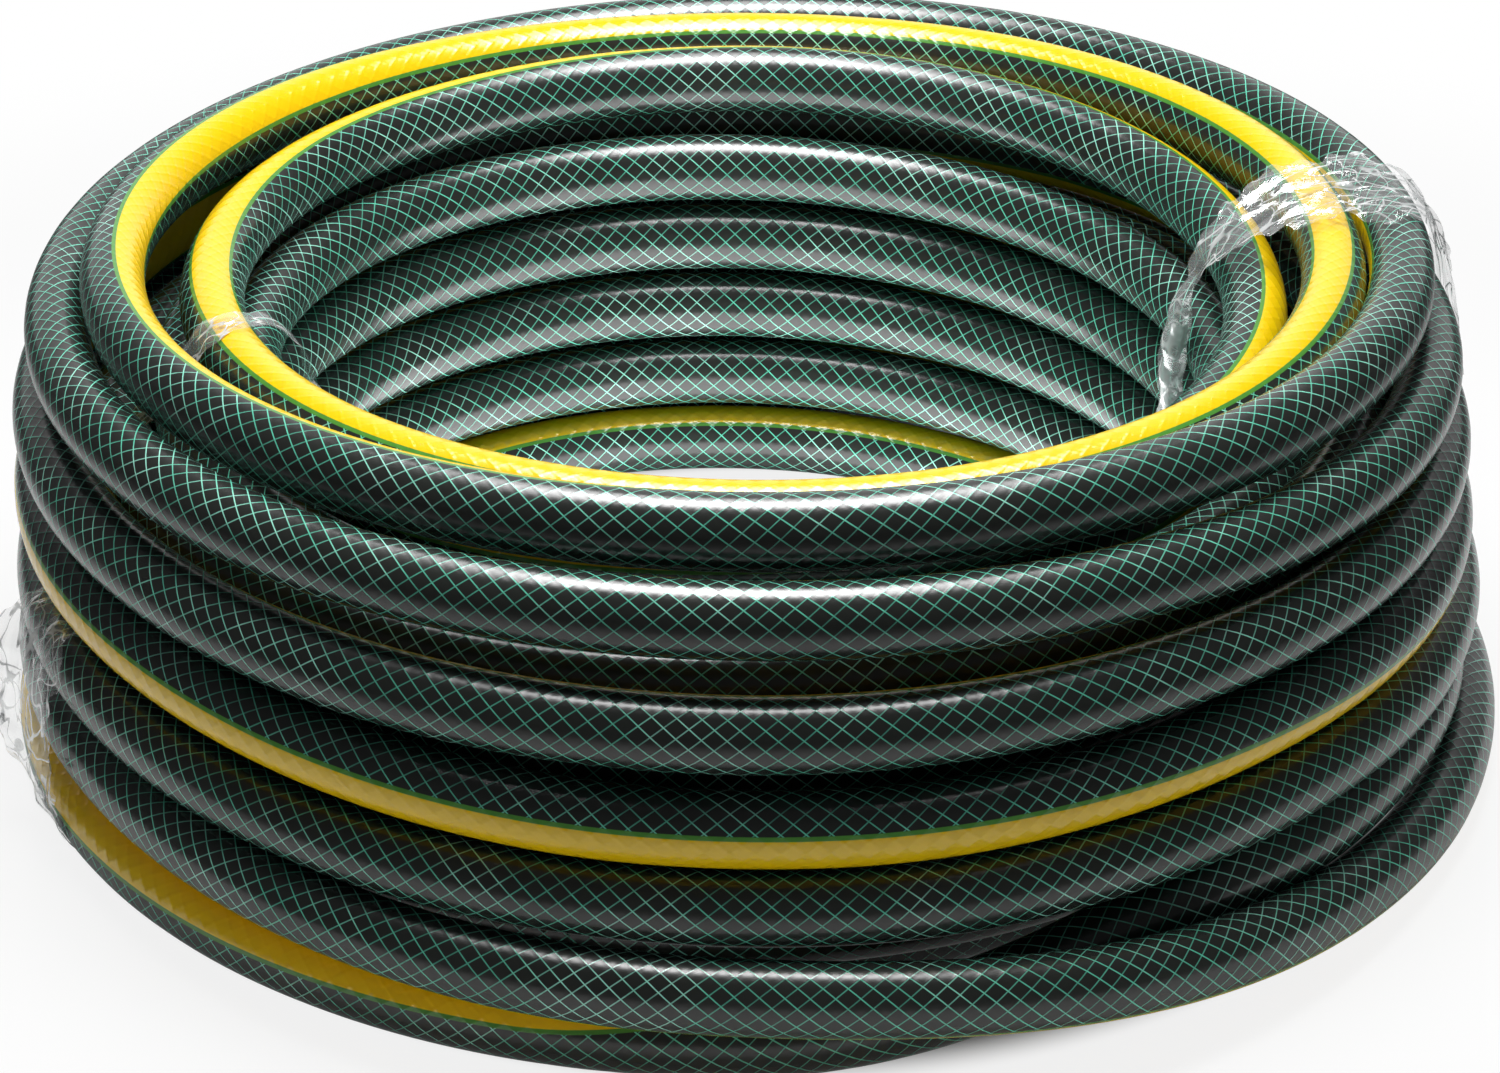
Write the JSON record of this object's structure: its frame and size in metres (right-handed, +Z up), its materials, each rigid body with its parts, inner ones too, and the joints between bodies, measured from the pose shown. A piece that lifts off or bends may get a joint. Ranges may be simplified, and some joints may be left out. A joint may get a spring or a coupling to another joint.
{
  "type": "garden hose coil",
  "caption": "Yarn-reinforced garden hose with a coloured stripe, wound in a tied coil with bare cut ends, for carrying water.",
  "frame": {"origin": "under the middle of the coil's outline, on the floor it lies on", "axes": "+Z up along the coil's axis; -Y is the front, where the last turn tucks in low under the turn above it"},
  "size_m": [0.4577, 0.4652, 0.1668],
  "materials": {
    "hose_dark": "gloss",
    "liner_dark": "satin",
    "yarn_green": "satin",
    "stripe_yellow": "gloss",
    "line_green": "gloss",
    "film_clear": "gloss"
  },
  "bodies": {
    "root": {"hose_winding": "hose_dark", "end_liner": "liner_dark", "end_yarn_left": "yarn_green", "end_yarn_right": "yarn_green", "end_cover": "hose_dark", "end_stripe": "stripe_yellow", "end_line_upper": "line_green", "end_line_lower": "line_green", "start_liner": "liner_dark", "start_yarn_left": "yarn_green", "start_yarn_right": "yarn_green", "start_cover": "hose_dark", "start_stripe": "stripe_yellow", "start_line_upper": "line_green", "start_line_lower": "line_green", "tie_right": "film_clear", "tie_left": "film_clear"}
  },
  "joints": []
}
